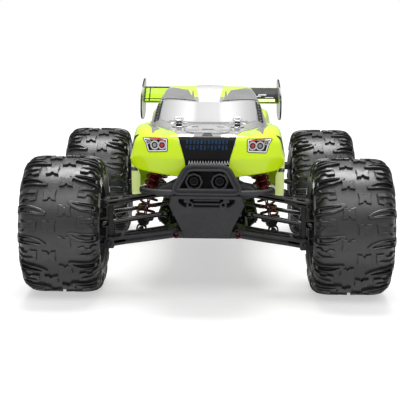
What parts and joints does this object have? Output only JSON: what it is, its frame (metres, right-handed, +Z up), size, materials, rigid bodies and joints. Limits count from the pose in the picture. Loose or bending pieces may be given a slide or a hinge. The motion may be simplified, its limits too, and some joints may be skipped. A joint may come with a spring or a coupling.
{
  "type": "remote control monster truck",
  "caption": "Large-scale off-road RC truck with long-travel suspension, steering, chunky tyres, a clip-on body shell and a rear wing.",
  "frame": {"origin": "on the ground, at the middle of the truck's length and width", "axes": "-Y is the way the truck drives, +X is its left side, +Z is up"},
  "size_m": [0.3972, 0.4909, 0.218],
  "materials": {
    "tyre_rubber": "matt moulded rubber",
    "black_nylon": "fine textured nylon",
    "grey_nylon": "coarse textured nylon",
    "black_steel": "black oxide steel",
    "red_metal": "dark red anodised or coated metal",
    "bright_steel": "polished rod",
    "shell": "painted polycarbonate, gloss",
    "wing": "painted polycarbonate, gloss",
    "battery_wrap": "shrink wrap",
    "brass": "machined"
  },
  "bodies": {
    "chassis": {"chassis_plate": "grey_nylon", "skid_plate": "grey_nylon", "front_bumper": "grey_nylon", "front_gearbox": "black_nylon", "rear_gearbox": "black_nylon", "front_shock_tower": "black_nylon", "rear_shock_tower": "black_nylon", "rear_wing": "wing", "motor": "black_nylon", "battery_pack": "battery_wrap", "steering_servo": "black_nylon", "receiver_box": "black_nylon"},
    "lower_arm_front_left": {"lower_arm_front_left": "black_nylon"},
    "caster_block_front_left": {"caster_block_front_left": "black_nylon"},
    "knuckle_front_left": {"knuckle_front_left": "black_nylon"},
    "wheel_front_left": {"tyre_front_left": "tyre_rubber", "rim_front_left": "black_nylon", "stub_axle_front_left": "black_steel"},
    "upper_arm_front_left": {"upper_arm_front_left": "black_nylon"},
    "drive_shaft_front_left": {"drive_shaft_front_left": "black_steel"},
    "shock_body_front_left": {"shock_body_front_left": "red_metal", "spring_front_left": "red_metal"},
    "shock_rod_front_left": {"shock_rod_front_left": "bright_steel"},
    "lower_arm_front_right": {"lower_arm_front_right": "black_nylon"},
    "caster_block_front_right": {"caster_block_front_right": "black_nylon"},
    "knuckle_front_right": {"knuckle_front_right": "black_nylon"},
    "wheel_front_right": {"tyre_front_right": "tyre_rubber", "rim_front_right": "black_nylon", "stub_axle_front_right": "black_steel"},
    "upper_arm_front_right": {"upper_arm_front_right": "black_nylon"},
    "drive_shaft_front_right": {"drive_shaft_front_right": "black_steel"},
    "shock_body_front_right": {"shock_body_front_right": "red_metal", "spring_front_right": "red_metal"},
    "shock_rod_front_right": {"shock_rod_front_right": "bright_steel"},
    "lower_arm_rear_left": {"lower_arm_rear_left": "black_nylon"},
    "hub_carrier_rear_left": {"hub_carrier_rear_left": "black_nylon"},
    "wheel_rear_left": {"tyre_rear_left": "tyre_rubber", "rim_rear_left": "black_nylon", "stub_axle_rear_left": "black_steel"},
    "upper_arm_rear_left": {"upper_arm_rear_left": "black_nylon"},
    "drive_shaft_rear_left": {"drive_shaft_rear_left": "black_steel"},
    "shock_body_rear_left": {"shock_body_rear_left": "red_metal", "spring_rear_left": "red_metal"},
    "shock_rod_rear_left": {"shock_rod_rear_left": "bright_steel"},
    "lower_arm_rear_right": {"lower_arm_rear_right": "black_nylon"},
    "hub_carrier_rear_right": {"hub_carrier_rear_right": "black_nylon"},
    "wheel_rear_right": {"tyre_rear_right": "tyre_rubber", "rim_rear_right": "black_nylon", "stub_axle_rear_right": "black_steel"},
    "upper_arm_rear_right": {"upper_arm_rear_right": "black_nylon"},
    "drive_shaft_rear_right": {"drive_shaft_rear_right": "black_steel"},
    "shock_body_rear_right": {"shock_body_rear_right": "red_metal", "spring_rear_right": "red_metal"},
    "shock_rod_rear_right": {"shock_rod_rear_right": "bright_steel"},
    "drag_link": {"drag_link": "grey_nylon"},
    "tie_rod_front_left": {"tie_rod_front_left": "black_steel"},
    "tie_rod_front_right": {"tie_rod_front_right": "black_steel"},
    "spur_gear": {"spur_gear": "black_steel"},
    "motor_pinion": {"motor_pinion": "brass"},
    "body_shell": {"body_shell": "shell"}
  },
  "joints": [
    {"name": "suspension_front_left", "type": "hinge", "parent": "chassis", "child": "lower_arm_front_left", "pos_m": [0.033, -0.165, 0.07], "axis": [0, -1, 0], "range_deg": [-8, 20], "stiffness_Nm_per_rad": 2.6, "springref_deg": -9.74},
    {"name": "carrier_pivot_front_left", "type": "hinge", "parent": "lower_arm_front_left", "child": "caster_block_front_left", "pos_m": [0.106, -0.165, 0.0574], "axis": [0, -1, 0], "range_deg": [-20, 8]},
    {"name": "kingpin_front_left", "type": "hinge", "parent": "caster_block_front_left", "child": "knuckle_front_left", "pos_m": [0.118, -0.165, 0.075], "axis": [0, 0, -1], "range_deg": [-20, 20]},
    {"name": "wheel_spin_front_left", "type": "hinge", "parent": "knuckle_front_left", "child": "wheel_front_left", "pos_m": [0.155, -0.165, 0.075], "axis": [1, 0, 0], "continuous": true},
    {"name": "upper_pivot_front_left", "type": "hinge", "parent": "chassis", "child": "upper_arm_front_left", "pos_m": [0.038, -0.165, 0.112], "axis": [0, -1, 0], "range_deg": [-8, 20]},
    {"name": "shaft_swing_front_left", "type": "hinge", "parent": "chassis", "child": "drive_shaft_front_left", "pos_m": [0.045, -0.165, 0.0876], "axis": [0, -1, 0], "range_deg": [-8, 20]},
    {"name": "shock_lean_front_left", "type": "hinge", "parent": "chassis", "child": "shock_body_front_left", "pos_m": [0.05, -0.1415, 0.16], "axis": [0, -1, 0], "range_deg": [-2, 3]},
    {"name": "shock_stroke_front_left", "type": "slide", "parent": "shock_body_front_left", "child": "shock_rod_front_left", "axis": [-0.2474, 0, 0.9689], "range_m": [-0.006, 0.0145], "deforming": ["spring_front_left"]},
    {"name": "suspension_front_right", "type": "hinge", "parent": "chassis", "child": "lower_arm_front_right", "pos_m": [-0.033, -0.165, 0.07], "axis": [0, 1, 0], "range_deg": [-8, 20], "stiffness_Nm_per_rad": 2.6, "springref_deg": -9.74},
    {"name": "carrier_pivot_front_right", "type": "hinge", "parent": "lower_arm_front_right", "child": "caster_block_front_right", "pos_m": [-0.106, -0.165, 0.0574], "axis": [0, 1, 0], "range_deg": [-20, 8]},
    {"name": "kingpin_front_right", "type": "hinge", "parent": "caster_block_front_right", "child": "knuckle_front_right", "pos_m": [-0.118, -0.165, 0.075], "axis": [0, 0, -1], "range_deg": [-20, 20]},
    {"name": "wheel_spin_front_right", "type": "hinge", "parent": "knuckle_front_right", "child": "wheel_front_right", "pos_m": [-0.155, -0.165, 0.075], "axis": [1, 0, 0], "continuous": true},
    {"name": "upper_pivot_front_right", "type": "hinge", "parent": "chassis", "child": "upper_arm_front_right", "pos_m": [-0.038, -0.165, 0.112], "axis": [0, 1, 0], "range_deg": [-8, 20]},
    {"name": "shaft_swing_front_right", "type": "hinge", "parent": "chassis", "child": "drive_shaft_front_right", "pos_m": [-0.045, -0.165, 0.0876], "axis": [0, 1, 0], "range_deg": [-8, 20]},
    {"name": "shock_lean_front_right", "type": "hinge", "parent": "chassis", "child": "shock_body_front_right", "pos_m": [-0.05, -0.1415, 0.16], "axis": [0, 1, 0], "range_deg": [-2, 3]},
    {"name": "shock_stroke_front_right", "type": "slide", "parent": "shock_body_front_right", "child": "shock_rod_front_right", "axis": [0.2474, 0, 0.9689], "range_m": [-0.006, 0.0145], "deforming": ["spring_front_right"]},
    {"name": "suspension_rear_left", "type": "hinge", "parent": "chassis", "child": "lower_arm_rear_left", "pos_m": [0.033, 0.165, 0.07], "axis": [0, -1, 0], "range_deg": [-8, 20], "stiffness_Nm_per_rad": 2.6, "springref_deg": -9.74},
    {"name": "carrier_pivot_rear_left", "type": "hinge", "parent": "lower_arm_rear_left", "child": "hub_carrier_rear_left", "pos_m": [0.106, 0.165, 0.0574], "axis": [0, -1, 0], "range_deg": [-20, 8]},
    {"name": "wheel_spin_rear_left", "type": "hinge", "parent": "hub_carrier_rear_left", "child": "wheel_rear_left", "pos_m": [0.155, 0.165, 0.075], "axis": [1, 0, 0], "continuous": true},
    {"name": "upper_pivot_rear_left", "type": "hinge", "parent": "chassis", "child": "upper_arm_rear_left", "pos_m": [0.038, 0.165, 0.112], "axis": [0, -1, 0], "range_deg": [-8, 20]},
    {"name": "shaft_swing_rear_left", "type": "hinge", "parent": "chassis", "child": "drive_shaft_rear_left", "pos_m": [0.045, 0.165, 0.0876], "axis": [0, -1, 0], "range_deg": [-8, 20]},
    {"name": "shock_lean_rear_left", "type": "hinge", "parent": "chassis", "child": "shock_body_rear_left", "pos_m": [0.05, 0.1415, 0.16], "axis": [0, -1, 0], "range_deg": [-2, 3]},
    {"name": "shock_stroke_rear_left", "type": "slide", "parent": "shock_body_rear_left", "child": "shock_rod_rear_left", "axis": [-0.2474, 0, 0.9689], "range_m": [-0.006, 0.0145], "deforming": ["spring_rear_left"]},
    {"name": "suspension_rear_right", "type": "hinge", "parent": "chassis", "child": "lower_arm_rear_right", "pos_m": [-0.033, 0.165, 0.07], "axis": [0, 1, 0], "range_deg": [-8, 20], "stiffness_Nm_per_rad": 2.6, "springref_deg": -9.74},
    {"name": "carrier_pivot_rear_right", "type": "hinge", "parent": "lower_arm_rear_right", "child": "hub_carrier_rear_right", "pos_m": [-0.106, 0.165, 0.0574], "axis": [0, 1, 0], "range_deg": [-20, 8]},
    {"name": "wheel_spin_rear_right", "type": "hinge", "parent": "hub_carrier_rear_right", "child": "wheel_rear_right", "pos_m": [-0.155, 0.165, 0.075], "axis": [1, 0, 0], "continuous": true},
    {"name": "upper_pivot_rear_right", "type": "hinge", "parent": "chassis", "child": "upper_arm_rear_right", "pos_m": [-0.038, 0.165, 0.112], "axis": [0, 1, 0], "range_deg": [-8, 20]},
    {"name": "shaft_swing_rear_right", "type": "hinge", "parent": "chassis", "child": "drive_shaft_rear_right", "pos_m": [-0.045, 0.165, 0.0876], "axis": [0, 1, 0], "range_deg": [-8, 20]},
    {"name": "shock_lean_rear_right", "type": "hinge", "parent": "chassis", "child": "shock_body_rear_right", "pos_m": [-0.05, 0.1415, 0.16], "axis": [0, 1, 0], "range_deg": [-2, 3]},
    {"name": "shock_stroke_rear_right", "type": "slide", "parent": "shock_body_rear_right", "child": "shock_rod_rear_right", "axis": [0.2474, 0, 0.9689], "range_m": [-0.006, 0.0145], "deforming": ["spring_rear_right"]},
    {"name": "steering_slide", "type": "slide", "parent": "chassis", "child": "drag_link", "axis": [1, 0, 0], "range_m": [-0.013, 0.013]},
    {"name": "tie_rod_swing_front_left", "type": "hinge", "parent": "drag_link", "child": "tie_rod_front_left", "pos_m": [0.034, -0.127, 0.0946], "axis": [0, -1, 0], "range_deg": [-8, 20]},
    {"name": "tie_rod_swing_front_right", "type": "hinge", "parent": "drag_link", "child": "tie_rod_front_right", "pos_m": [-0.034, -0.127, 0.0946], "axis": [0, 1, 0], "range_deg": [-8, 20]},
    {"name": "spur_spin", "type": "hinge", "parent": "chassis", "child": "spur_gear", "pos_m": [0, 0.06, 0.083], "axis": [0, 1, 0], "continuous": true},
    {"name": "pinion_spin", "type": "hinge", "parent": "chassis", "child": "motor_pinion", "pos_m": [0.0235, 0.06, 0.091], "axis": [0, 1, 0], "continuous": true},
    {"name": "shell_lift", "type": "slide", "parent": "chassis", "child": "body_shell", "axis": [0, 0, 1], "range_m": [0, 0.12]}
  ],
  "couplings": [
    {"joint": "carrier_pivot_front_left", "follows": "suspension_front_left", "ratio": -1},
    {"joint": "kingpin_front_left", "follows": "steering_slide", "rad_per_m": 26.85},
    {"joint": "wheel_spin_front_left", "follows": "wheel_spin_rear_left", "ratio": 1},
    {"joint": "upper_pivot_front_left", "follows": "suspension_front_left", "ratio": 1},
    {"joint": "shaft_swing_front_left", "follows": "suspension_front_left", "ratio": 1},
    {"joint": "shock_lean_front_left", "follows": "suspension_front_left", "ratio": 0.085},
    {"joint": "shock_stroke_front_left", "follows": "suspension_front_left", "m_per_rad": 0.0403},
    {"joint": "carrier_pivot_front_right", "follows": "suspension_front_right", "ratio": -1},
    {"joint": "kingpin_front_right", "follows": "steering_slide", "rad_per_m": 26.85},
    {"joint": "wheel_spin_front_right", "follows": "wheel_spin_rear_left", "ratio": 1},
    {"joint": "upper_pivot_front_right", "follows": "suspension_front_right", "ratio": 1},
    {"joint": "shaft_swing_front_right", "follows": "suspension_front_right", "ratio": 1},
    {"joint": "shock_lean_front_right", "follows": "suspension_front_right", "ratio": 0.085},
    {"joint": "shock_stroke_front_right", "follows": "suspension_front_right", "m_per_rad": 0.0403},
    {"joint": "carrier_pivot_rear_left", "follows": "suspension_rear_left", "ratio": -1},
    {"joint": "upper_pivot_rear_left", "follows": "suspension_rear_left", "ratio": 1},
    {"joint": "shaft_swing_rear_left", "follows": "suspension_rear_left", "ratio": 1},
    {"joint": "shock_lean_rear_left", "follows": "suspension_rear_left", "ratio": 0.085},
    {"joint": "shock_stroke_rear_left", "follows": "suspension_rear_left", "m_per_rad": 0.0403},
    {"joint": "carrier_pivot_rear_right", "follows": "suspension_rear_right", "ratio": -1},
    {"joint": "wheel_spin_rear_right", "follows": "wheel_spin_rear_left", "ratio": 1},
    {"joint": "upper_pivot_rear_right", "follows": "suspension_rear_right", "ratio": 1},
    {"joint": "shaft_swing_rear_right", "follows": "suspension_rear_right", "ratio": 1},
    {"joint": "shock_lean_rear_right", "follows": "suspension_rear_right", "ratio": 0.085},
    {"joint": "shock_stroke_rear_right", "follows": "suspension_rear_right", "m_per_rad": 0.0403},
    {"joint": "tie_rod_swing_front_left", "follows": "suspension_front_left", "ratio": 1},
    {"joint": "tie_rod_swing_front_right", "follows": "suspension_front_right", "ratio": 1},
    {"joint": "spur_spin", "follows": "wheel_spin_rear_left", "ratio": 3.3},
    {"joint": "pinion_spin", "follows": "wheel_spin_rear_left", "ratio": -9.2812}
  ]
}
